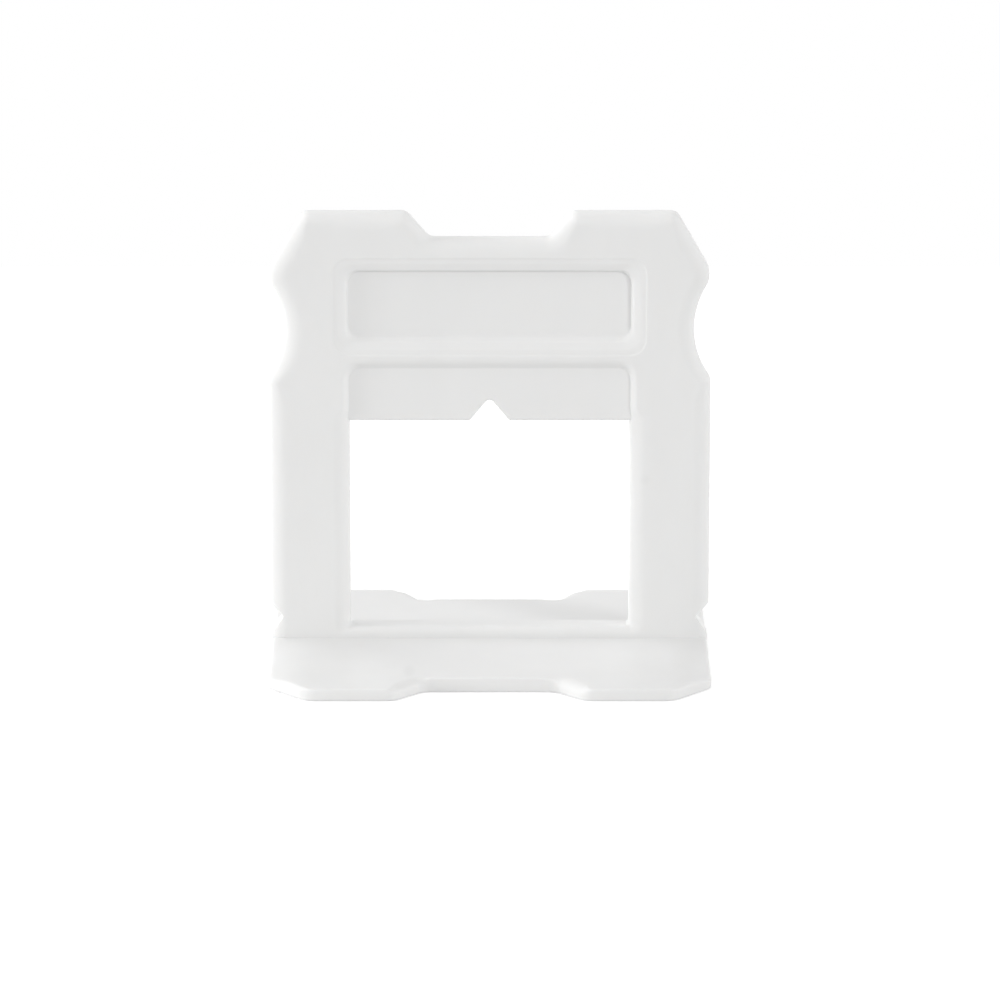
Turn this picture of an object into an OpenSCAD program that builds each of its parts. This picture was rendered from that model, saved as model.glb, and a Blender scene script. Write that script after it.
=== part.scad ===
// Tile levelling clip
// A one-piece moulded clip with a flat foot under two neighbouring tiles and an upright
// plate in the joint, with a window for the wedge and side notches where the plate snaps off.
// Millimetres. X runs along the joint, Y across it, Z up. The foot stands on Z = 0.

/* [Upright plate] */
// Width over the legs
plate_w = 30; // [28:0.5:36]
// Height over the shoulders, from the underside of the foot
plate_h = 30.65; // [30.2:0.05:33]
// Thickness, which is the width of the joint
plate_t = 2; // [1.8:0.1:3]
// Rounding of the outer edges
edge_r = 0.7; // [0.3:0.05:0.8]

/* [Shoulders] */
// Half of the top gap's width at its floor
gap_in = 4.05; // [3:0.05:5]
// Half of the top gap's width at its mouth
gap_out = 5.6; // [5.2:0.05:7]
// Depth of the top gap
gap_d = 1.8; // [1.2:0.1:2]
// Rounding of the top gap's corners
gap_r = 0.8; // [0.8:0.1:1]
// Half width of the flat shoulder tops
shoulder_x = 12.65; // [12:0.05:13]
// Drop of the slanting shoulders
shoulder_drop = 4.1; // [3.5:0.1:4.5]
// Rounding of the shoulders' outer points
point_r = 1.6; // [1.2:0.1:1.8]

/* [Finger grips] */
// Height of the middle of the grips
grip_z = 22.6; // [22.2:0.1:23]
// Depth of the grips
grip_d = 1.15; // [0.8:0.05:1.4]
// Radius of the grips
grip_r = 5.8; // [5:0.1:6.5]

/* [Wedge window] */
// Width of the window
window_w = 19; // [16:0.5:20]
// Height of the rail's top, the sill of the window
sill_z = 1.8; // [1.6:0.1:2.4]
// Height of the window's upper edge
lintel_z = 16.25; // [14:0.25:17]
// Rounding of the legs' inner edges
inner_r = 0.55; // [0.3:0.05:0.6]
// Half width of the vee in the upper edge
vee_x = 1.32; // [0.8:0.02:2]
// Height of the vee
vee_h = 1.4; // [1:0.1:1.8]
// Rounding of the vee's point
vee_r = 0.35; // [0.2:0.05:0.5]
// Rounding of the upper edge
lintel_r = 0.2; // [0.1:0.05:0.3]

/* [Lintel panel] */
// Height of the panel's upper end
panel_z = 20.2; // [19.6:0.1:20.4]
// Depth of the panel below each face of the plate
panel_d = 0.5; // [0.2:0.05:0.6]
// Rounding of the panel's upper corners
panel_r = 1; // [0.7:0.1:1.5]

/* [Label recess] */
// Width of the recess
label_w = 21.2; // [18:0.1:22]
// Height of the recess
label_h = 6.7; // [6:0.05:6.8]
// Height of the middle of the recess
label_z = 24.2; // [24.1:0.05:24.5]
// Width of the sloping border
border_w = 1.1; // [0.6:0.05:1.2]
// Depth of the small step round the border
step_d = 0.05; // [0.03:0.01:0.08]
// Depth at the inside of the sloping border
border_d = 0.22; // [0.1:0.02:0.24]
// Depth of the bare floor
label_d = 0.55; // [0.3:0.05:0.6]
// Rounding of the recess's corners
label_r = 1; // [0.9:0.1:1.5]

/* [Break line] */
// Height of the notches' points in the legs' sides
notch_z = 2.55; // [2.2:0.05:2.8]
// Depth of the notches
notch_d = 0.9; // [0.5:0.05:1]
// Depth of the notches' lower corners
notch_low_d = 0.5; // [0.2:0.05:0.5]
// Drop from the notches' points to their lower corners
notch_low_h = 0.7; // [0.4:0.05:0.8]
// Drop from the notches' points to the foot's side
notch_h = 1.35; // [0.9:0.05:1.4]

/* [Foot] */
// Length along the joint
foot_w = 29.8; // [28:0.1:36]
// Depth over the four lobes
foot_d = 25.5; // [22:0.5:30]
// Thickness
foot_t = 1; // [0.8:0.1:1.4]
// Cut of the corners along the joint
corner_x = 2.6; // [1.5:0.1:4]
// Cut of the corners across the joint
corner_y = 3; // [2:0.1:4]
// Half of the scallops' width at their floor
scallop_in = 4.4; // [3:0.05:5]
// Half of the scallops' width at their mouth
scallop_out = 6.35; // [5.2:0.05:7]
// Depth of the front scallop
scallop_d = 2.1; // [2.1:0.1:3]
// Depth of the rear scallop
scallop_rear_d = 3.9; // [2.1:0.1:4.5]
// Rounding of the scallops' corners
scallop_r = 1.2; // [0.8:0.1:1.2]
// Length of the lobes' falling noses
nose_l = 2; // [1.5:0.1:2]
// Fall of the front noses
nose_drop = 0.2; // [0.1:0.05:0.3]
// Fall of the rear noses
nose_rear_drop = 0.4; // [0.1:0.05:0.5]
// Rounding of the foot's upper edges
foot_r = 0.4; // [0.2:0.05:0.5]
// Rounding of the noses' upper edges
nose_r = 0.3; // [0.2:0.05:0.4]

/* [Colour] */
// Colour of the plastic
plastic = "whitesmoke"; // [whitesmoke, gainsboro, lightgray]

/* [Hidden] */
$fn = 96;
// Over-length of the cutters past what they cut
past = 3;
// Over-size of the blanks that are cut to shape
over = 1;
// Length of the straight cutters, past the whole clip
long = 3 * (plate_h + plate_w);
// Share by which roundings stand past the faces they join, so that every cut crosses cleanly
proud = 1.004;
// Depth by which the plate is rooted in the foot, below the foot's rounded edges
root = foot_r + 0.2;
// Edge forms: lower face, upper face, lower rounding, upper rounding
plate_edge = [-plate_t / 2, plate_t / 2, edge_r, edge_r];
inner_edge = [-plate_t / 2, plate_t / 2, inner_r, inner_r];
panel_edge = [-plate_t / 2 + panel_d, plate_t / 2 - panel_d, lintel_r, lintel_r];
foot_edge = [0, foot_t, 0, foot_r];
// Slanting shoulder: its lower end, its outward direction and the direction down it
slant_end = [plate_w / 2, plate_h - shoulder_drop];
slant_run = plate_w / 2 - shoulder_x;
slant_a = atan2(slant_run, shoulder_drop);
slant_n = [cos(slant_a), sin(slant_a)];
slant_t = [sin(slant_a), -cos(slant_a)];
// Grip circle, and the circle of the shoulder's point that touches it and the slant
grip_c = [plate_w / 2 - grip_d + grip_r, grip_z];
point_foot = (slant_n * slant_end - point_r) * slant_n;
point_gap = grip_c - point_foot;
point_along = point_gap * slant_t;
point_off = point_gap * slant_n;
point_c = point_foot + (point_along - sqrt((grip_r + point_r) ^ 2 - point_off ^ 2)) * slant_t;
point_dir = grip_c - point_c;
point_a = atan2(point_dir[1], point_dir[0]);
// Rounding of the shoulders' corners, no tighter than the edge rounding that runs round them
shoulder_r = max(gap_r, edge_r + 0.1);
// Circle of the corner between the shoulder's top and the slant
top_c = [shoulder_x - shoulder_r * tan((90 - slant_a) / 2), plate_h - shoulder_r];
// Amount by which the label floor's corners are tighter than its border's
corner_loss = 0.2;
// Corner cut of the foot
corner_a = atan2(corner_x, corner_y);
corner_c = [foot_w / 2 - corner_x / 2, foot_d / 2 - corner_y / 2];

// Section of what an edge loses, with X outwards from the edge
module edge_loss(edge, reach) {
    low = edge[0] - past;
    translate([0, low])
        square([reach, edge[1] - edge[0] + 2 * past]);
    if (edge[3] > 0)
        difference() {
            translate([-edge[3], edge[1] - edge[3]])
                square([edge[3] + reach, edge[3] + past]);
            translate([-edge[3], edge[1] - edge[3]])
                circle(edge[3] * proud);
        }
    if (edge[2] > 0)
        difference() {
            translate([-edge[2], low])
                square([edge[2] + reach, edge[2] + past]);
            translate([-edge[2], edge[0] + edge[2]])
                circle(edge[2] * proud);
        }
}

// Cutter for a straight edge through a point, with its outward direction in degrees
module flank(edge, point, direction, length, reach = past) {
    translate(point)
        rotate([0, 0, direction])
            rotate([90, 0, 0])
                linear_extrude(length, center = true)
                    edge_loss(edge, reach);
}

// Cutter for a hollow arc
module hollow(edge, centre, radius) {
    translate(centre)
        rotate_extrude()
            translate([radius, 0])
                mirror([1, 0])
                    edge_loss(edge, radius / 2);
}

// Cutter that rounds an outer corner between two directions
module outer_corner(edge, centre, radius, from, to) {
    translate(centre)
        rotate([0, 0, from])
            rotate_extrude(angle = to - from)
                translate([radius * proud, 0])
                    edge_loss(edge, radius);
}

// Piece left standing in an inner corner between two directions
module inner_corner(edge, centre, radius, from, to) {
    translate(centre)
        rotate([0, 0, from])
            rotate_extrude(angle = to - from)
                difference() {
                    translate([radius / 2, edge[0] - 2 * past])
                        square([radius + past, edge[1] - edge[0] + 4 * past]);
                    translate([radius * proud, 0])
                        mirror([1, 0])
                            edge_loss(edge, radius);
                }
}

// Cutter for a gap that widens upwards, with its floor on the X axis and rounded corners
module gap(edge, half_in, half_out, depth, radius) {
    lean = atan2(half_out - half_in, depth);
    low_x = half_in - radius * (1 - sin(lean)) / cos(lean);
    high_x = half_in + (depth - radius) * tan(lean) + radius / cos(lean);
    wide = 4 * half_out;
    difference() {
        intersection() {
            flank(edge, [0, 0], 90, wide, depth + past);
            flank(edge, [half_in, 0], 180 - lean, wide, wide);
            flank(edge, [-half_in, 0], lean, wide, wide);
        }
        inner_corner(edge, [low_x, radius], radius, -90, -lean);
        inner_corner(edge, [-low_x, radius], radius, lean - 180, -90);
    }
    outer_corner(edge, [high_x, depth - radius], radius, 90, 180 - lean);
    outer_corner(edge, [-high_x, depth - radius], radius, lean, 90);
}

// Rectangle with rounded corners about the origin
module round_rect(width, height, radius) {
    square([width - 2 * radius, height], center = true);
    square([width, height - 2 * radius], center = true);
    for (x = [-1, 1], y = [-1, 1])
        translate([x * (width / 2 - radius), y * (height / 2 - radius)])
            circle(radius);
}

// Cutter for the window, with the lintel panel left standing between its two hollows
module window() {
    corner = [window_w / 2 - panel_r, panel_z - panel_r];
    difference() {
        intersection() {
            flank(inner_edge, [window_w / 2, sill_z], 180, long, window_w + past);
            flank(inner_edge, [-window_w / 2, sill_z], 0, long, window_w + past);
            flank(inner_edge, [0, sill_z], 90, long, plate_h);
            flank(inner_edge, [0, panel_z], -90, long, plate_h);
        }
        inner_corner(inner_edge, corner, panel_r, 0, 90);
        inner_corner(inner_edge, [-corner[0], corner[1]], panel_r, 90, 180);
        panel();
    }
}

// Lintel panel over the window, with the vee in its lower edge
module panel() {
    tip = [0, lintel_z + vee_h - vee_r];
    vee_a = atan2(tip[1] - lintel_z, vee_x) + asin(vee_r / norm([vee_x, tip[1] - lintel_z]));
    touch = [vee_r * sin(vee_a), tip[1] + vee_r * cos(vee_a)];
    difference() {
        translate([-window_w, lintel_z - over, panel_edge[0]])
            cube([2 * window_w, panel_z - lintel_z + 2 * over, panel_edge[1] - panel_edge[0]]);
        flank(panel_edge, [0, lintel_z], -90, long);
        translate([0, 0, -past])
            linear_extrude(2 * past) {
                polygon([
                    [-vee_x - past / tan(vee_a), lintel_z - past],
                    [vee_x + past / tan(vee_a), lintel_z - past],
                    touch,
                    [-touch[0], touch[1]]
                ]);
                translate(tip)
                    circle(vee_r * proud);
            }
    }
}

// Cutter for the bare label recess in one face: a sloping border round a flat floor
module label_recess() {
    face = plate_t / 2;
    border_floor = (border_d + label_d) / 2;
    translate([0, label_z, 0]) {
        intersection() {
            translate([0, 0, face - border_floor])
                linear_extrude(border_floor + past)
                    round_rect(label_w, label_h, label_r);
            rotate([90, 0, 0])
                linear_extrude(2 * label_h, center = true)
                    border_section(label_w / 2);
            rotate([90, 0, 90])
                linear_extrude(2 * label_w, center = true)
                    border_section(label_h / 2);
        }
        translate([0, 0, face - label_d])
            linear_extrude(label_d + past)
                round_rect(label_w - 2 * border_w, label_h - 2 * border_w, label_r - corner_loss);
    }
}

// Section of the sloping border across the recess
module border_section(half) {
    fall = (border_d - step_d) / border_w;
    start = plate_t / 2 - step_d;
    run = border_w * 2;
    polygon([
        [-half - past, start + past * fall],
        [-half + run, start - run * fall],
        [half - run, start - run * fall],
        [half + past, start + past * fall],
        [half + past, start + 2 * past],
        [-half - past, start + 2 * past]
    ]);
}

// Cutter for the snap-off notches beside the foot of the legs
module notch() {
    out = plate_w / 2;
    foot = foot_w / 2;
    translate([0, 0, -past])
        linear_extrude(2 * past)
            polygon([
                [out + past, notch_z + notch_d + past],
                [out - notch_d, notch_z],
                [out - notch_low_d, notch_z - notch_low_h],
                [foot, notch_z - notch_h],
                [foot, -past],
                [out + past, -past]
            ]);
}

// Plate's outline: a slab cut to straight edges
module slab() {
    difference() {
        translate([-plate_w / 2 - over, foot_t - root, -plate_t / 2])
            cube([plate_w + 2 * over, plate_h - foot_t + root + over, plate_t]);
        flank(plate_edge, [0, plate_h], 90, long);
        for (side = [0, 1])
            mirror([side, 0, 0]) {
                flank(plate_edge, [plate_w / 2, 0], 0, long);
                flank(plate_edge, slant_end, slant_a, long, 2 * past);
            }
    }
}

// Slab with its grips, rounded shoulder tops, top gap and snap-off notches
module blank() {
    difference() {
        slab();
        for (side = [0, 1])
            mirror([side, 0, 0]) {
                hollow(plate_edge, grip_c, grip_r);
                outer_corner(plate_edge, top_c, shoulder_r, slant_a, 90);
                notch();
            }
        translate([0, plate_h - gap_d, 0])
            gap(plate_edge, gap_in, gap_out, gap_d, shoulder_r);
    }
}

// Upright plate, drawn lying on its back
module plate() {
    difference() {
        blank();
        for (side = [0, 1])
            mirror([side, 0, 0])
                outer_corner(plate_edge, point_c, point_r, point_a, slant_a);
        window();
        label_recess();
        mirror([0, 0, 1])
            label_recess();
    }
}

// Foot with its lobes, scallops and falling noses
module foot() {
    difference() {
        translate([-foot_w / 2 - over, -foot_d / 2 - over, 0])
            cube([foot_w + 2 * over, foot_d + 2 * over, foot_t]);
        for (side = [0, 1])
            mirror([side, 0, 0])
                flank(foot_edge, [foot_w / 2, 0], 0, long);
        foot_end(scallop_rear_d, nose_rear_drop);
        mirror([0, 1, 0])
            foot_end(scallop_d, nose_drop);
    }
}

// Cutters for one end of the foot, with its own scallop and fall of the noses
module foot_end(depth, drop) {
    flank([0, foot_t - drop, 0, nose_r], [0, foot_d / 2], 90, long);
    for (side = [0, 1])
        mirror([side, 0, 0])
            flank(foot_edge, corner_c, 90 - corner_a, long, 2 * past);
    translate([0, foot_d / 2 - depth, 0])
        gap(foot_edge, scallop_in, scallop_out, depth, scallop_r);
    nose_fall(drop);
}

// Cutter for the falling top of the noses
module nose_fall(drop) {
    start = foot_d / 2 - nose_l;
    rotate([90, 0, 90])
        linear_extrude(long, center = true)
            polygon([
                [start, foot_t],
                [start + 2 * nose_l, foot_t - 2 * drop],
                [start + 2 * nose_l, foot_t + past],
                [start, foot_t + past]
            ]);
}

// Whole clip
module clip() {
    color(plastic)
        union() {
            foot();
            rotate([90, 0, 0])
                plate();
        }
}

clip();
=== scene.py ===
"""Looks of the tile levelling clip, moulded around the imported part."""
import math

import bmesh
import bpy
from bpy.props import FloatProperty, FloatVectorProperty, PointerProperty
from mathutils import Matrix, Vector


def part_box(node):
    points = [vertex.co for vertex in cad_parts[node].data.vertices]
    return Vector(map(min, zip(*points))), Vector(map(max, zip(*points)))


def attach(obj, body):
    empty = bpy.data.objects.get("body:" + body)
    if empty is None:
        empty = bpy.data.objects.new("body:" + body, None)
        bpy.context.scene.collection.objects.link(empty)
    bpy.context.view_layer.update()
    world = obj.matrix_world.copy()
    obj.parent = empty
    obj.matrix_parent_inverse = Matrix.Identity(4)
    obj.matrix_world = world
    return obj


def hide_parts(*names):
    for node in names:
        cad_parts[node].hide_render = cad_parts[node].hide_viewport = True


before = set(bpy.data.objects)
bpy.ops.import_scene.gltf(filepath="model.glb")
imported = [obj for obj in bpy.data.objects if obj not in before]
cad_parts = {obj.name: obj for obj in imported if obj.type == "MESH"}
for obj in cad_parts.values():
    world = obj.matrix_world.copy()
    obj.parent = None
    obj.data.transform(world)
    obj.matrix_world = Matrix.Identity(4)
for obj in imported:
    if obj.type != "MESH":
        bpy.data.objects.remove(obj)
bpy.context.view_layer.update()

bl_info = {
    "name": "Tile levelling clip",
    "version": (1, 0, 0),
    "blender": (4, 5, 0),
    "location": "View3D > Sidebar > Tile clip",
    "description": "Moulds a tile levelling clip around its packed frame and sets its studio",
    "category": "Add Mesh",
}

# Meshes are drawn in millimetres and brought to metres when they are finished
MM = 0.001
BOX_LOW, BOX_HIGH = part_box("clip")
BOX_SIZE = BOX_HIGH - BOX_LOW

# Steps of an arc that turns a right angle
ARC_STEPS = 10
# Longest run of a straight stretch, in millimetres
STRIDE = 1.5
# Distance under which two drawn points are one, in millimetres
WELD = 1e-4
# Angle past which an edge stays crisp
CRISP = math.radians(32)
# Share of an outer corner's radius that its edge rounding may take, and its growth away from there
TIGHT_SHARE = 0.94
WIDENING = 0.3

# Measures of the clip, in millimetres
# Height at which the plate ends inside the foot
ROOT = 0.35
# Rounding of the lintel panel's lower edge
LINTEL_EDGE = 0.18
# Heights over that rounding at which the leg's edge is cut while it turns into the panel's slope
BLEND_RISES = (0.0, 0.15, 0.3, 0.45, 0.6, 0.8)
# Distance from the window's outline at which the panel's slope ends
PANEL_LEDGE = 0.03
# Half width, lower end and upper end of the label recess's outline
LABEL_HALF, LABEL_LOW, LABEL_HIGH = 10.6, 20.88, 27.56
# Depths of the rings below the face on the plate's outer edge
EDGE_DEPTHS = (0.0, 0.015, 0.05, 0.1, 0.17, 0.26, 0.36, 0.48, 0.61, 0.75, 1.0)
# Depths of the rings below the top on the foot's edge
FOOT_DEPTHS = (0.0, 0.006, 0.02, 0.045, 0.08, 0.13, 0.19, 0.26, 0.35, 0.46, 0.6, 0.8)
# Steps below the lintel panel on the window's walls, short of the plate's middle
DEEP_STEPS = (0.0, 0.008, 0.03, 0.065, 0.11, 0.18, 0.34)
# Lines along which the foot's soft sides are cut: shares of their run from the side, and distances
# from the joint's middle over which the fall grows
SIDE_CUTS = (1.0, 0.83, 0.66, 0.5, 0.34, 0.19)
FALL_CUTS = (1.0, 1.8, 2.6, 3.4, 4.2, 5.0)
# Slope round the lintel panel: share of its width, share of its depth
PANEL_SLOPE = (
    (0.0, 0.0),
    (0.1, 0.01),
    (0.2, 0.04),
    (0.3, 0.09),
    (0.4, 0.17),
    (0.5, 0.27),
    (0.6, 0.4),
    (0.7, 0.55),
    (0.79, 0.71),
    (0.87, 0.85),
    (0.94, 0.95),
    (1.0, 1.0),
)
# Contours of the label recess: inset from its outline, depth, corner radius, more inset below
LABEL_RINGS = (
    (-0.08, 0.0, 1.12, 0.0),
    (-0.04, 0.006, 1.1, 0.0),
    (0.0, 0.024, 1.08, 0.0),
    (0.04, 0.042, 1.06, 0.0),
    (0.09, 0.05, 1.04, 0.0),
    (0.3, 0.056, 1.0, 0.0),
    (0.37, 0.066, 0.98, 0.0),
    (0.45, 0.09, 0.95, 0.0),
    (0.78, 0.2, 0.86, 0.0),
    (0.83, 0.23, 0.84, 0.01),
    (0.88, 0.28, 0.83, 0.02),
    (0.97, 0.46, 0.8, 0.13),
    (0.99, 0.51, 0.79, 0.18),
    (1.02, 0.54, 0.78, 0.23),
    (1.06, 0.55, 0.77, 0.28),
)
# Faint marks of the mould's pins on the foot and on a leg, with painted shade that stands in for the
# shading of their shallow dimples and the duller reflection of their rougher skin: place, reach, shade in
# the middle, and a squeeze of the distances that draws the foot's mark out across the foot
PAINTED_PIN_SHADES = (
    ((-5.4, -9.0, 1.0), 0.6, 0.95, (1.0, 0.3, 1.0)),
    ((10.57, -1.0, 12.2), 0.5, 0.975, (1.0, 1.0, 1.0)),
)
# Height that the lamps and the camera are turned to, and the camera's distance from there
LOOK_HEIGHT = 15.0
CAMERA_AWAY = 416.8
# Reach of the floor each way, and its gap under the foot, so that the two don't flicker
FLOOR_REACH = 120.0
FLOOR_GAP = 0.02

# Shade of the flow marks beside the plain colour, and the swing of the roughness in patches
FLOW_SHADE = 0.985
PATCHES = 0.05
# Glow that brings the floor up to white for the camera
FLOOR_GLOW = 0.4


def length(name, description, default):
    """A size of the clip, kept in metres."""
    return FloatProperty(
        name=name, description=description, default=default * MM, min=0.0, precision=5, unit="LENGTH"
    )


class PlateSizes(bpy.types.PropertyGroup):
    """Sizes of the upright plate"""

    width: length("Width", "Width over the legs", BOX_SIZE.x / MM)
    height: length("Height", "Height over the shoulders", BOX_SIZE.z / MM)
    thickness: length("Thickness", "Thickness of the legs, which sets the joint", 2.0)
    edge: length("Edge rounding", "Width of the outer edges' rounding on the face", 1.2)
    edge_drop: length("Edge drop", "Depth of the outer edges' rounding", 0.7)
    leg_edge: length("Leg rounding", "Width of the rounding along the legs' inner edges", 1.15)
    leg_drop: length("Leg drop", "Depth of the rounding along the legs' inner edges", 0.7)
    sill_edge: length("Sill rounding", "Width of the rounding along the window's sill", 0.62)
    sill_drop: length("Sill drop", "Depth of the rounding along the window's sill", 0.3)
    panel_slope: length("Panel slope", "Width of the slopes beside the lintel panel", 0.52)
    panel_ease: length("Panel ease", "Width of the slope over the lintel panel", 0.86)
    window: length("Window width", "Width of the wedge window", 19.0)
    sill: length("Sill height", "Height of the window's sill", 1.8)
    lintel: length("Lintel height", "Height of the window's upper edge", 16.25)
    panel_top: length("Panel top", "Height of the lintel panel's upper end", 19.85)
    panel_depth: length("Panel depth", "Depth of the lintel panel below the face", 0.36)
    grip_depth: length("Grip depth", "Depth of the finger grips", 1.15)


class FootSizes(bpy.types.PropertyGroup):
    """Sizes of the foot"""

    width: length("Width", "Length of the foot along the joint", 29.8)
    depth: length("Depth", "Depth over the four lobes", BOX_SIZE.y / MM)
    thickness: length("Thickness", "Thickness of the foot", 1.0)
    edge: length("Edge rounding", "Width of the rounding on the scallops' slants", 1.2)
    edge_drop: length("Edge drop", "Depth of the rounding on the scallops' slants", 0.8)
    side_edge: length("Side rounding", "Width of the rounding on the sides and corners", 0.36)
    side_drop: length("Side drop", "Depth of the rounding on the sides and corners", 0.3)
    side_run: length("Side run", "Width over which the foot falls towards its sides", 2.8)
    side_fall: length("Side fall", "Fall of the foot's top at its sides", 0.36)
    nose_edge: length("Nose rounding", "Rounding of the lobes' front edges", 0.06)
    nose_fall: length("Nose fall", "Fall of the front lobes' noses", 0.2)
    rear_fall: length("Rear nose fall", "Fall of the rear lobes' noses", 0.4)
    scallop: length("Scallop depth", "Depth of the front scallop", 2.1)
    rear_scallop: length("Rear scallop depth", "Depth of the rear scallop", 3.9)


class PlasticFinish(bpy.types.PropertyGroup):
    """Finish of the moulded plastic"""

    colour: FloatVectorProperty(
        name="Colour", description="Colour of the plastic", default=(0.82, 0.82, 0.815),
        min=0.0, max=1.0, subtype="COLOR"
    )
    roughness: FloatProperty(
        name="Roughness", description="Middle roughness of the moulded skin", default=0.33,
        min=0.0, max=1.0, subtype="FACTOR"
    )
    translucency: FloatProperty(
        name="Translucency", description="Share of light that scatters under the skin", default=0.3,
        min=0.0, max=1.0, subtype="FACTOR"
    )


class StudioLight(bpy.types.PropertyGroup):
    """Light and floor of the studio"""

    floor: FloatVectorProperty(
        name="Floor", description="Colour of the floor", default=(0.8, 0.8, 0.8),
        min=0.0, max=1.0, subtype="COLOR"
    )
    ambient: FloatProperty(
        name="Ambient", description="Strength of the light from all round", default=0.565, min=0.0
    )
    left: FloatProperty(
        name="Left lamp", description="Strength of the large soft lamp on the left", default=2.3, min=0.0
    )
    right: FloatProperty(
        name="Right lamp", description="Strength of the soft lamp on the right", default=1.07, min=0.0
    )
    rear: FloatProperty(
        name="Rear lamp", description="Strength of the soft lamp behind on the left", default=0.55, min=0.0
    )
    top: FloatProperty(
        name="Top lamp", description="Strength of the soft lamp overhead", default=0.22, min=0.0
    )


class Pen:
    """Draws an open chain of points in a plane, in millimetres."""

    def __init__(self, start):
        self.sheet = bmesh.new()
        self.tip = bmesh.ops.create_vert(self.sheet, co=(*start, 0.0))["vert"][0]
        self.points = [Vector(start)]
        self.bends = [math.inf]

    def step(self):
        """Grows the chain by one point, on top of the last."""
        self.tip = bmesh.ops.extrude_vert_indiv(self.sheet, verts=[self.tip])["verts"][0]

    def line(self, point):
        """Draws a straight stretch to a point, in short runs."""
        start = self.points[-1]
        run = Vector(point) - start
        pieces = max(1, math.ceil(run.length / STRIDE))
        for piece in range(1, pieces + 1):
            place = start + run * (piece / pieces)
            self.step()
            self.tip.co = (*place, 0.0)
            self.points.append(place)
            self.bends.append(math.inf)

    def arc(self, centre, angle, steps):
        """Turns about a centre, anticlockwise where the angle is positive."""
        turn = Matrix.Rotation(angle / steps, 3, "Z")
        bend = math.copysign((self.points[-1] - Vector(centre)).length, angle)
        self.bends[-1] = bend
        for _ in range(steps):
            self.step()
            bmesh.ops.rotate(self.sheet, cent=(*centre, 0.0), matrix=turn, verts=[self.tip])
            self.points.append(self.tip.co.to_2d())
            self.bends.append(bend)

    def corner(self, corner, after, radius):
        """Draws to a corner and rounds it on the way to the point after it."""
        corner = Vector(corner)
        arrive = (corner - self.points[-1]).normalized()
        leave = (Vector(after) - corner).normalized()
        angle = math.atan2(arrive.cross(leave), arrive.dot(leave))
        side = math.copysign(1.0, angle)
        start = corner - arrive * radius * math.tan(abs(angle) / 2)
        self.line(start)
        centre = start + Vector((-arrive.y, arrive.x)) * radius * side
        steps = max(3, round(ARC_STEPS * abs(angle) / math.radians(90)))
        self.arc(centre, angle, steps)

    def finish(self, point=None):
        """Ends the chain and gives its points."""
        if point is not None:
            self.line(point)
        self.sheet.free()
        return self.points


def inward(points, side):
    """Mitred directions into the material, on the right of the chain where side is 1."""
    runs = [(after - before).normalized() for before, after in zip(points, points[1:])]
    normals = [Vector((run.y, -run.x)) * side for run in runs]
    before = [normals[0]] + normals
    after = normals + [normals[-1]]
    mitres = [(a + b) / (1 + a.dot(b)) for a, b in zip(before, after)]
    for end in (0, -1):
        if abs(points[end].x) < WELD:
            mitres[end] = Vector((0.0, 1 / normals[end].y))
    return mitres


def room(points, bends, side):
    """How wide the rounding may be at each point, so that it turns no outer corner inside out."""
    tight = [(p, abs(bend)) for p, bend in zip(points, bends) if bend * side < 0 and abs(bend) < math.inf]
    limits = []
    for p in points:
        near = [bend * TIGHT_SHARE + (p - q).length * WIDENING for q, bend in tight]
        limits.append(min(near, default=math.inf))
    return limits


def ease(share):
    """A smooth step from nought to one."""
    share = min(max(share, 0.0), 1.0)
    return share * share * (3 - 2 * share)


def rounding(width, height, depth):
    """How far a rounded edge stands back from its wall at a depth below the face."""
    rise = min(max(1 - depth / height, 0.0), 1.0)
    return width * (1 - math.sqrt(1 - rise * rise))


def loft(mesh, rings):
    """Extrudes an open chain from ring to ring and gives the rows of points."""
    row = [bmesh.ops.create_vert(mesh, co=rings[0][0])["vert"][0]]
    edges = []
    for place in rings[0][1:]:
        made = bmesh.ops.extrude_vert_indiv(mesh, verts=[row[-1]])
        made["verts"][0].co = place
        row.append(made["verts"][0])
        edges.append(made["edges"][0])
    rows = [row]
    for ring in rings[1:]:
        made = bmesh.ops.extrude_edge_only(mesh, edges=edges)["geom"]
        fresh = {item for item in made if isinstance(item, bmesh.types.BMVert)}
        row = []
        for old, place in zip(rows[-1], ring):
            new = next(edge.other_vert(old) for edge in old.link_edges if edge.other_vert(old) in fresh)
            new.co = place
            row.append(new)
        edges = [mesh.edges.get(pair) for pair in zip(row, row[1:])]
        rows.append(row)
    return rows


def cap(mesh, *rows):
    """Closes a flat face round the given rows of points, in order."""
    ring = [vert for row in rows for vert in row]
    for pair in zip(ring, ring[1:] + ring[:1]):
        if mesh.edges.get(pair) is None:
            bmesh.ops.contextual_create(mesh, geom=list(pair))
    edges = [mesh.edges.get(pair) for pair in zip(ring, ring[1:] + ring[:1])]
    bmesh.ops.contextual_create(mesh, geom=edges)


def mirror_over(mesh, axes):
    """Completes a shape drawn on one side of each of the given axes' planes."""
    for axis in axes:
        geom = mesh.verts[:] + mesh.edges[:] + mesh.faces[:]
        bmesh.ops.mirror(mesh, geom=geom, matrix=Matrix.Identity(4), merge_dist=0.0, axis=axis)
        bmesh.ops.remove_doubles(mesh, verts=mesh.verts[:], dist=WELD)


def close_and_turn_out(mesh):
    """Fills what is still open and turns every face outwards."""
    rim = [edge for edge in mesh.edges if edge.is_boundary]
    if rim:
        bmesh.ops.contextual_create(mesh, geom=rim)
    bmesh.ops.recalc_face_normals(mesh, faces=mesh.faces[:])


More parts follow.
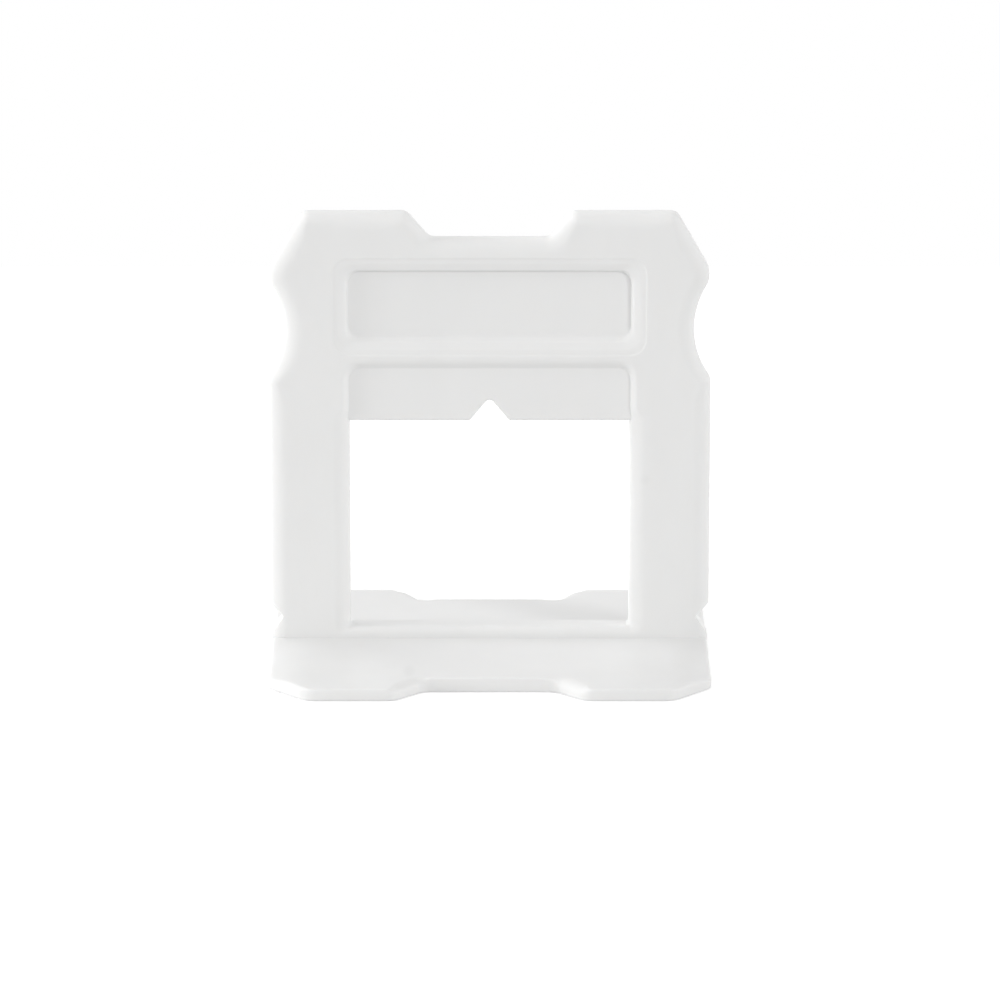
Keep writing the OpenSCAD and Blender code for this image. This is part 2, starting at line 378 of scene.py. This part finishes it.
def outer_chain(plate):
    """Outline of half the plate, from the top gap's floor down into the foot."""
    half = plate.width / MM / 2
    top = plate.height / MM
    gap_depth, gap_half, mouth_half = 1.8, 4.05, 5.6
    shoulder_half, shoulder_drop = 12.65, 4.1
    bend = 0.8
    gap_floor = top - gap_depth
    gap_low, gap_high = (gap_half, gap_floor), (mouth_half, top)
    shoulder, slant_end = (shoulder_half, top), (half, top - shoulder_drop)
    pen = Pen((0.0, gap_floor))
    pen.corner(gap_low, gap_high, bend)
    pen.corner(gap_high, shoulder, bend)
    pen.corner(shoulder, slant_end, bend)

    # Shoulder's point, finger grip and the corner under it, each circle touching the next
    slope = math.atan2(slant_end[0] - shoulder[0], shoulder[1] - slant_end[1])
    out = Vector((math.cos(slope), math.sin(slope)))
    down = Vector((math.sin(slope), -math.cos(slope)))
    grip_r, point_r, under_r = 5.8, 1.6, 0.8
    grip_steps, point_steps, under_steps = 26, 10, 8
    grip_height = 22.6
    grip = Vector((half - plate.grip_depth / MM + grip_r, grip_height))
    base = out * (out.dot(Vector(slant_end)) - point_r)
    gap = grip - base
    along = gap.dot(down) - math.sqrt((grip_r + point_r) ** 2 - gap.dot(out) ** 2)
    point = base + down * along
    across = grip.x - half + under_r
    under = Vector((half - under_r, grip.y - math.sqrt((grip_r + under_r) ** 2 - across ** 2)))
    to_grip = math.atan2(grip.y - point.y, grip.x - point.x)
    to_under = math.atan2(grip.y - under.y, grip.x - under.x)
    pen.line(point + out * point_r)
    pen.arc(point, to_grip - slope, point_steps)
    pen.arc(grip, to_under - to_grip, grip_steps)
    pen.arc(under, -to_under, under_steps)
    return pen.finish((half, ROOT)), pen.bends


def notch_mesh(plate):
    """Cutters for the snap-off notches in the legs' sides."""
    mesh = bmesh.new()
    half = plate.width / MM / 2
    past = 1.0
    mouth = 3.41
    facets = [(half, mouth), (14.07, 2.54), (14.9, 1.2), (14.9, 0.0)]
    radii = (0.2, 0.16, 0.3)
    pen = Pen((half + past, mouth + past))
    for corner, after, radius in zip(facets, facets[1:], radii):
        pen.corner(corner, after, radius)
    pen.line(facets[-1])
    chain = pen.finish((half + past, 0.0))
    reach = plate.thickness / MM
    rows = loft(mesh, [[(p.x, y, p.y) for p in chain] for y in (-reach, reach)])
    cap(mesh, rows[0])
    cap(mesh, rows[1])
    bmesh.ops.contextual_create(mesh, geom=[edge for edge in mesh.edges if edge.is_boundary])
    mirror_over(mesh, "X")
    close_and_turn_out(mesh)
    return mesh


def window_chain(plate):
    """Half of the window's outline, up round the recess over the lintel panel."""
    half = plate.window / MM / 2
    sill = plate.sill / MM
    top = plate.panel_top / MM
    sill_r, panel_r = 0.2, 0.8
    pen = Pen((0.0, sill))
    pen.corner((half, sill), (half, top), sill_r)
    for rise in BLEND_RISES:
        pen.line((half, plate.lintel / MM + LINTEL_EDGE + rise))
    pen.corner((half, top), (0.0, top), panel_r)
    return pen.finish((0.0, top))


def lintel_chain(plate):
    """Half of the lintel panel's lower edge, from the leg to the middle of the vee."""
    lintel = plate.lintel / MM
    vee_half, vee_high, mouth_r, tip_r = 1.32, 1.4, 0.22, 0.35
    tip_steps = 8
    tip = Vector((0.0, lintel + vee_high - tip_r))
    rise = tip.y - lintel
    lean = math.atan2(rise, vee_half) + math.asin(tip_r / math.hypot(vee_half, rise))
    touch = tip + Vector((math.sin(lean), math.cos(lean))) * tip_r
    pen = Pen((plate.window / MM / 2, lintel))
    pen.corner((vee_half, lintel), touch, mouth_r)
    pen.line(touch)
    pen.arc(tip, lean, tip_steps)
    return pen.finish()


def label_chain(half, low, high, radius):
    """Half of one contour of the label recess."""
    pen = Pen((0.0, low))
    pen.corner((half, low), (half, high), radius)
    pen.corner((half, high), (0.0, high), radius)
    return pen.finish((0.0, high))


def plate_mesh(plate):
    """The upright plate as a closed shell."""
    mesh = bmesh.new()
    face = plate.thickness / MM / 2

    def at(points, depth):
        return [(p.x, depth - face, p.y) for p in points]

    # Outer edge
    outer, bends = outer_chain(plate)
    into = inward(outer, 1)
    widths = [min(plate.edge / MM, limit) for limit in room(outer, bends, 1)]
    drop = plate.edge_drop / MM
    rings = []
    for depth in EDGE_DEPTHS:
        ring = [p + n * rounding(w, drop, depth) for p, n, w in zip(outer, into, widths)]
        rings.append(at(ring, depth))
    outer_rows = loft(mesh, rings)

    # Window with wide roundings on the legs, turning into the slope round the lintel panel
    window = window_chain(plate)
    into = inward(window, 1)
    drops = [math.hypot(plate.leg_drop * n.x, plate.sill_drop * n.y) / MM / n.length for n in into]
    lintel_z = plate.lintel / MM
    panel = plate.panel_depth / MM
    widths = [math.hypot(plate.leg_edge * n.x, plate.sill_edge * n.y) / MM / n.length for n in into]
    slants = [math.hypot(plate.panel_slope * n.x, plate.panel_ease * n.y) / MM / n.length for n in into]
    blends = [ease((p.y - lintel_z - LINTEL_EDGE) / BLEND_RISES[-1]) for p in window]

    def window_ring(depth, share):
        backs = []
        for width, drop, slant, blend in zip(widths, drops, slants, blends):
            back = rounding(width, drop, depth)
            backs.append(back + (slant * (1 - share) + PANEL_LEDGE - back) * blend)
        return [p + n * back for p, n, back in zip(window, into, backs)]

    rings = []
    for share, down in PANEL_SLOPE:
        rings.append(at(window_ring(panel * down, share), panel * down))
    window_rows = loft(mesh, rings)

    # Sill and leg walls go on behind the panel, up to the lintel's rounded edge
    turn = next(i for i, p in enumerate(window) if abs(p.y - lintel_z - LINTEL_EDGE) < WELD)
    deep = [panel + step for step in DEEP_STEPS] + [face]
    rings = []
    for depth in deep:
        ring = window_ring(depth, 1.0)[: turn + 1]
        ring[-1].y = lintel_z + rounding(LINTEL_EDGE, LINTEL_EDGE, depth - panel)
        rings.append(at(ring, depth))
    loft(mesh, rings)

    # Lintel's lower edge, ending on the leg's wall
    lintel = lintel_chain(plate)
    into_lintel = inward(lintel, 1)
    rings = []
    for depth in deep:
        back = rounding(LINTEL_EDGE, LINTEL_EDGE, depth - panel)
        ring = [p + n * back for p, n in zip(lintel, into_lintel)]
        ring[0].x += rounding(widths[turn], drops[turn], depth)
        rings.append(at(ring, depth))
    lintel_rows = loft(mesh, rings)
    cap(mesh, window_rows[-1][turn:], lintel_rows[0][::-1])

    # Label recess with its stepped, sloping border and bare floor
    rings = []
    for inset, depth, radius, more in LABEL_RINGS:
        ring = label_chain(LABEL_HALF - inset, LABEL_LOW + inset + more, LABEL_HIGH - inset, radius)
        rings.append(at(ring, depth))
    label_rows = loft(mesh, rings)
    cap(mesh, label_rows[-1])

    # Front face between all of these
    foot_row = [bmesh.ops.create_vert(mesh, co=(0.0, -face, outer[-1].y))["vert"][0]]
    cap(mesh, outer_rows[0], foot_row, window_rows[0], label_rows[0])
    bmesh.ops.remove_doubles(mesh, verts=mesh.verts[:], dist=WELD)
    mirror_over(mesh, "XY")
    close_and_turn_out(mesh)
    return mesh


def foot_mesh(foot):
    """The foot as a closed shell, with its lobes, scallops and falling noses."""
    mesh = bmesh.new()
    half = foot.width / MM / 2
    reach = foot.depth / MM / 2
    thick = foot.thickness / MM
    cut_x, cut_y = 2.6, 3.0
    floor_x, mouth_x = 4.4, 6.35
    scallop_r, lobe_r = 1.2, 1.6
    nose_run = 2.0
    front = -reach + foot.scallop / MM
    rear = reach - foot.rear_scallop / MM
    path = [
        (floor_x, front),
        (mouth_x, -reach),
        (half - cut_x, -reach),
        (half, -reach + cut_y),
        (half, reach - cut_y),
        (half - cut_x, reach),
        (mouth_x, reach),
        (floor_x, rear),
        (0.0, rear),
    ]
    radii = [scallop_r] * 2 + [lobe_r] * 4 + [scallop_r] * 2
    pen = Pen((0.0, front))
    for corner, after, radius in zip(path, path[1:], radii):
        pen.corner(corner, after, radius)
    chain = pen.finish(path[-1])
    into = inward(chain, -1)
    nose = foot.nose_edge / MM
    under = 0.06
    widths = []
    drops = []
    for p, n, limit in zip(chain, into, room(chain, pen.bends, -1)):
        share = abs(n.x) / n.length
        outer = ease((p.x - mouth_x) / (half - cut_x - mouth_x))
        edge = (foot.edge + (foot.side_edge - foot.edge) * outer) / MM
        drop = (foot.edge_drop + (foot.side_drop - foot.edge_drop) * outer) / MM
        widths.append(min(nose + (edge - nose) * share, limit))
        drops.append(nose + (drop - nose) * share)
    rings = []
    for depth in FOOT_DEPTHS:
        ring = [p + n * rounding(w, h, depth) for p, n, w, h in zip(chain, into, widths, drops)]
        rings.append([(p.x, p.y, thick - depth) for p in ring])
    for height in (under, under * 0.3, 0.0):
        ring = [p + n * rounding(under, under, height) for p, n in zip(chain, into)]
        rings.append([(p.x, p.y, height) for p in ring])
    rows = loft(mesh, rings)
    cap(mesh, rows[0])
    cap(mesh, rows[-1])
    mirror_over(mesh, "X")
    close_and_turn_out(mesh)

    # Noses fall from a crease across each lobe to its front edge, and the sides fall in a soft curve
    crease = reach - nose_run
    run = foot.side_run / MM
    places = [Vector((half - run * share, 0.0, 0.0)) for share in SIDE_CUTS]
    places += [Vector((0.0, distance, 0.0)) for distance in (*FALL_CUTS, crease)]
    for place in places:
        for side in (-1, 1):
            geom = mesh.verts[:] + mesh.edges[:] + mesh.faces[:]
            out = place.normalized() * side
            bmesh.ops.bisect_plane(mesh, geom=geom, dist=WELD, plane_co=place * side, plane_no=out)
    for vert in mesh.verts:
        along = max(abs(vert.co.y) - crease, 0.0) / nose_run
        across = max(abs(vert.co.x) - half + run, 0.0) / run
        grown = ease((abs(vert.co.y) - FALL_CUTS[0]) / (FALL_CUTS[-1] - FALL_CUTS[0]))
        fall = (foot.rear_fall if vert.co.y > 0 else foot.nose_fall) / MM
        vert.co.z *= 1 - fall / thick * along
        vert.co.z *= 1 - foot.side_fall / MM / thick * across ** 2 * grown
    return mesh


def new_object(name, mesh):
    """Makes an object of a drawn mesh and frees the drawing."""
    data = bpy.data.meshes.new(name)
    mesh.to_mesh(data)
    mesh.free()
    obj = bpy.data.objects.new(name, data)
    bpy.context.scene.collection.objects.link(obj)
    return obj


def join_shell(target, other, operation):
    """Joins or cuts one closed shell with another, and drops the other."""
    step = target.modifiers.new("Shell", "BOOLEAN")
    step.operation = operation
    step.solver = "EXACT"
    step.object = other
    graph = bpy.context.evaluated_depsgraph_get()
    made = bpy.data.meshes.new_from_object(target.evaluated_get(graph))
    target.modifiers.clear()
    old = target.data
    target.data = made
    bpy.data.meshes.remove(old)
    bpy.data.objects.remove(other)


def add_node(tree, kind, place, **values):
    """Adds a shader node with its settings and its inputs' values."""
    node = tree.nodes.new(kind)
    node.location = place
    for key, value in values.items():
        if key in node.inputs:
            node.inputs[key].default_value = value
        else:
            setattr(node, key, value)
    return node


def plastic_material(finish):
    """White moulded plastic: faint flow marks, a soft skin and a fine grain."""
    material = bpy.data.materials.new("moulded_plastic")
    material.use_nodes = True
    tree = material.node_tree
    link = tree.links.new
    skin = tree.nodes["Principled BSDF"]
    skin.inputs["IOR"].default_value = 1.49
    skin.inputs["Specular IOR Level"].default_value = 0.5
    skin.inputs["Subsurface Weight"].default_value = finish.translucency
    skin.inputs["Subsurface Radius"].default_value = (1.0, 0.95, 0.9)
    skin.inputs["Subsurface Scale"].default_value = 0.3 * MM
    place = add_node(tree, "ShaderNodeTexCoord", (-1200, 0))

    # Flow marks run up the legs and across the lintel, a shade off the plain colour
    stretch = add_node(tree, "ShaderNodeMapping", (-1000, 250), Scale=(1.0, 1.0, 0.3))
    flow = add_node(tree, "ShaderNodeTexNoise", (-800, 250), Scale=330.0, Detail=3.0, Roughness=0.5)
    tint = add_node(tree, "ShaderNodeValToRGB", (-600, 250))
    plain = Vector(finish.colour)
    tint.color_ramp.elements[0].position = 0.3
    tint.color_ramp.elements[1].position = 0.7
    tint.color_ramp.elements[0].color = (*(plain * FLOW_SHADE), 1.0)
    tint.color_ramp.elements[1].color = (*plain, 1.0)
    link(place.outputs["Object"], stretch.inputs["Vector"])
    link(stretch.outputs["Vector"], flow.inputs["Vector"])
    link(flow.outputs["Fac"], tint.inputs["Fac"])
    shade = tint.outputs["Color"]
    # Painted shade at the pins' marks, darkest in each mark's middle, standing in for their dimples'
    # shading and duller reflection
    for row, (mark, wide, faint, squeeze) in enumerate(PAINTED_PIN_SHADES):
        level = 500 + 200 * row
        scaled = add_node(tree, "ShaderNodeVectorMath", (-800, level), operation="MULTIPLY")
        scaled.inputs[1].default_value = squeeze
        reach = add_node(tree, "ShaderNodeVectorMath", (-600, level), operation="DISTANCE")
        reach.inputs[1].default_value = Vector(mark) * Vector(squeeze) * MM
        spot = add_node(tree, "ShaderNodeMapRange", (-400, level), interpolation_type="SMOOTHSTEP")
        spot.inputs["From Min"].default_value = 0.2 * wide * MM
        spot.inputs["From Max"].default_value = wide * MM
        spot.inputs["To Min"].default_value = faint
        painted_pin_shade = add_node(tree, "ShaderNodeVectorMath", (-200, level), operation="SCALE")
        link(place.outputs["Object"], scaled.inputs[0])
        link(scaled.outputs["Vector"], reach.inputs[0])
        link(reach.outputs["Value"], spot.inputs["Value"])
        link(shade, painted_pin_shade.inputs[0])
        link(spot.outputs["Result"], painted_pin_shade.inputs["Scale"])
        shade = painted_pin_shade.outputs["Vector"]
    link(shade, skin.inputs["Base Color"])

    # Skin is a little duller in patches, as it comes out of the mould
    patch = add_node(tree, "ShaderNodeTexNoise", (-800, -50), Scale=520.0, Detail=2.0)
    dull = add_node(tree, "ShaderNodeMapRange", (-600, -50))
    dull.inputs["To Min"].default_value = finish.roughness - PATCHES
    dull.inputs["To Max"].default_value = finish.roughness + PATCHES
    link(place.outputs["Object"], patch.inputs["Vector"])
    link(patch.outputs["Fac"], dull.inputs["Value"])
    link(dull.outputs["Result"], skin.inputs["Roughness"])

    # Fine grain over a slow wave of the surface
    grain = add_node(tree, "ShaderNodeTexNoise", (-800, -350), Scale=7000.0, Detail=2.0)
    wave = add_node(tree, "ShaderNodeTexNoise", (-800, -600), Scale=260.0, Detail=1.0)
    fine = add_node(tree, "ShaderNodeBump", (-400, -350), Strength=0.05, Distance=0.02 * MM)
    slow = add_node(tree, "ShaderNodeBump", (-600, -600), Strength=0.12, Distance=0.1 * MM)
    link(place.outputs["Object"], grain.inputs["Vector"])
    link(place.outputs["Object"], wave.inputs["Vector"])
    link(wave.outputs["Fac"], slow.inputs["Height"])
    link(grain.outputs["Fac"], fine.inputs["Height"])
    link(slow.outputs["Normal"], fine.inputs["Normal"])
    link(fine.outputs["Normal"], skin.inputs["Normal"])
    return material


def white_to_camera(tree, place):
    """One for rays that see the background itself, in the picture or in a reflection."""
    path = add_node(tree, "ShaderNodeLightPath", place)
    first = add_node(tree, "ShaderNodeMath", (place[0] + 200, place[1]), operation="MAXIMUM")
    second = add_node(tree, "ShaderNodeMath", (place[0] + 400, place[1]), operation="MAXIMUM")
    tree.links.new(path.outputs["Is Camera Ray"], first.inputs[0])
    tree.links.new(path.outputs["Is Glossy Ray"], first.inputs[1])
    tree.links.new(first.outputs[0], second.inputs[0])
    tree.links.new(path.outputs["Is Transmission Ray"], second.inputs[1])
    return second.outputs[0]


def floor_material(studio):
    """Pale floor that comes out white and keeps the clip's shadow."""
    material = bpy.data.materials.new("studio_floor")
    material.use_nodes = True
    tree = material.node_tree
    tree.nodes.clear()
    paint = add_node(tree, "ShaderNodeBsdfDiffuse", (0, 100), Color=(*studio.floor, 1.0))
    glow = add_node(tree, "ShaderNodeEmission", (0, -100))
    level = add_node(tree, "ShaderNodeMath", (-200, -100), operation="MULTIPLY")
    level.inputs[1].default_value = FLOOR_GLOW
    both = add_node(tree, "ShaderNodeAddShader", (200, 0))
    out = add_node(tree, "ShaderNodeOutputMaterial", (400, 0))
    tree.links.new(white_to_camera(tree, (-900, -100)), level.inputs[0])
    tree.links.new(level.outputs[0], glow.inputs["Strength"])
    tree.links.new(paint.outputs[0], both.inputs[0])
    tree.links.new(glow.outputs[0], both.inputs[1])
    tree.links.new(both.outputs[0], out.inputs["Surface"])
    return material


class CLIP_OT_mould(bpy.types.Operator):
    """Mould the clip: the upright plate and the foot in one piece"""

    bl_idname = "clip.mould"
    bl_label = "Mould the clip"

    def execute(self, context):
        scene = context.scene
        clip = new_object("moulded_clip", plate_mesh(scene.clip_plate))
        join_shell(clip, new_object("notches", notch_mesh(scene.clip_plate)), "DIFFERENCE")
        join_shell(clip, new_object("foot_shell", foot_mesh(scene.clip_foot)), "UNION")
        clip.data.transform(Matrix.Scale(MM, 4))
        clip.data.polygons.foreach_set("use_smooth", [True] * len(clip.data.polygons))
        clip.data.set_sharp_from_angle(angle=CRISP)
        clip.data.materials.clear()
        clip.data.materials.append(plastic_material(scene.clip_finish))
        even = clip.modifiers.new("Even shading", "WEIGHTED_NORMAL")
        even.keep_sharp = True
        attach(clip, "root")
        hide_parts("clip")
        return {"FINISHED"}


class CLIP_OT_stage(bpy.types.Operator):
    """Set the floor, the soft lamps and the camera"""

    bl_idname = "clip.stage"
    bl_label = "Set the stage"

    def execute(self, context):
        scene = context.scene
        studio = scene.clip_studio
        mesh = bmesh.new()
        below = Matrix.Translation((0.0, 0.0, -FLOOR_GAP * MM))
        bmesh.ops.create_grid(mesh, x_segments=2, y_segments=2, size=FLOOR_REACH * MM, matrix=below)
        floor = new_object("floor", mesh)
        floor.data.materials.append(floor_material(studio))

        world = bpy.data.worlds.new("studio")
        world.use_nodes = True
        scene.world = world
        tree = world.node_tree
        sky = tree.nodes["Background"]
        level = add_node(tree, "ShaderNodeMapRange", (-200, 0))
        level.inputs["To Min"].default_value = studio.ambient
        level.inputs["To Max"].default_value = 1.0
        tree.links.new(white_to_camera(tree, (-900, 0)), level.inputs["Value"])
        tree.links.new(level.outputs["Result"], sky.inputs["Strength"])
        sky.inputs["Color"].default_value = (1.0, 1.0, 1.0, 1.0)

        target = Vector((0.0, 0.0, LOOK_HEIGHT * MM))
        # Each lamp: turn from the front, height and spread in degrees, and strength
        lamps = (
            ("left_lamp", -85, 10, 30, studio.left),
            ("rear_lamp", -130, 35, 40, studio.rear),
            ("right_lamp", 51, 18, 18, studio.right),
            ("top_lamp", 0, 74, 70, studio.top),
        )
        for name, turn, height, spread, strength in lamps:
            data = bpy.data.lights.new(name, "SUN")
            data.energy = strength
            data.angle = math.radians(spread)
            lamp = bpy.data.objects.new(name, data)
            lamp.location = target
            lamp.visible_glossy = False
            lamp.rotation_euler = (math.radians(90 - height), 0.0, math.radians(turn))
            scene.collection.objects.link(lamp)

        tilt = math.radians(14.17)
        data = bpy.data.cameras.new("camera")
        data.lens = 220.5
        data.shift_x = 0.0105
        data.shift_y = -0.0639
        data.clip_start = 0.01
        camera = bpy.data.objects.new("camera", data)
        camera.location = target + Vector((0.0, -math.cos(tilt), math.sin(tilt))) * CAMERA_AWAY * MM
        camera.rotation_euler = (math.radians(90) - tilt, 0.0, 0.0)
        scene.collection.objects.link(camera)
        scene.camera = camera
        scene.view_settings.view_transform = "Standard"
        return {"FINISHED"}


class CLIP_PT_panel(bpy.types.Panel):
    """Sizes and steps of the clip"""

    bl_idname = "CLIP_PT_panel"
    bl_label = "Tile levelling clip"
    bl_space_type = "VIEW_3D"
    bl_region_type = "UI"
    bl_category = "Tile clip"

    def draw(self, context):
        for name in GROUPS:
            box = self.layout.box()
            group = getattr(context.scene, name)
            for key in group.__annotations__:
                box.prop(group, key)
        for step in STEPS:
            self.layout.operator(step.bl_idname)


GROUPS = {
    "clip_plate": PlateSizes,
    "clip_foot": FootSizes,
    "clip_finish": PlasticFinish,
    "clip_studio": StudioLight,
}
STEPS = (CLIP_OT_mould, CLIP_OT_stage)
CLASSES = (*GROUPS.values(), *STEPS, CLIP_PT_panel)


def register():
    for cls in CLASSES:
        bpy.utils.register_class(cls)
    for name, group in GROUPS.items():
        setattr(bpy.types.Scene, name, PointerProperty(type=group))


def unregister():
    for name in GROUPS:
        delattr(bpy.types.Scene, name)
    for cls in reversed(CLASSES):
        bpy.utils.unregister_class(cls)


def main():
    register()
    bpy.ops.clip.mould()
    bpy.ops.clip.stage()


if __name__ == "__main__":
    main()
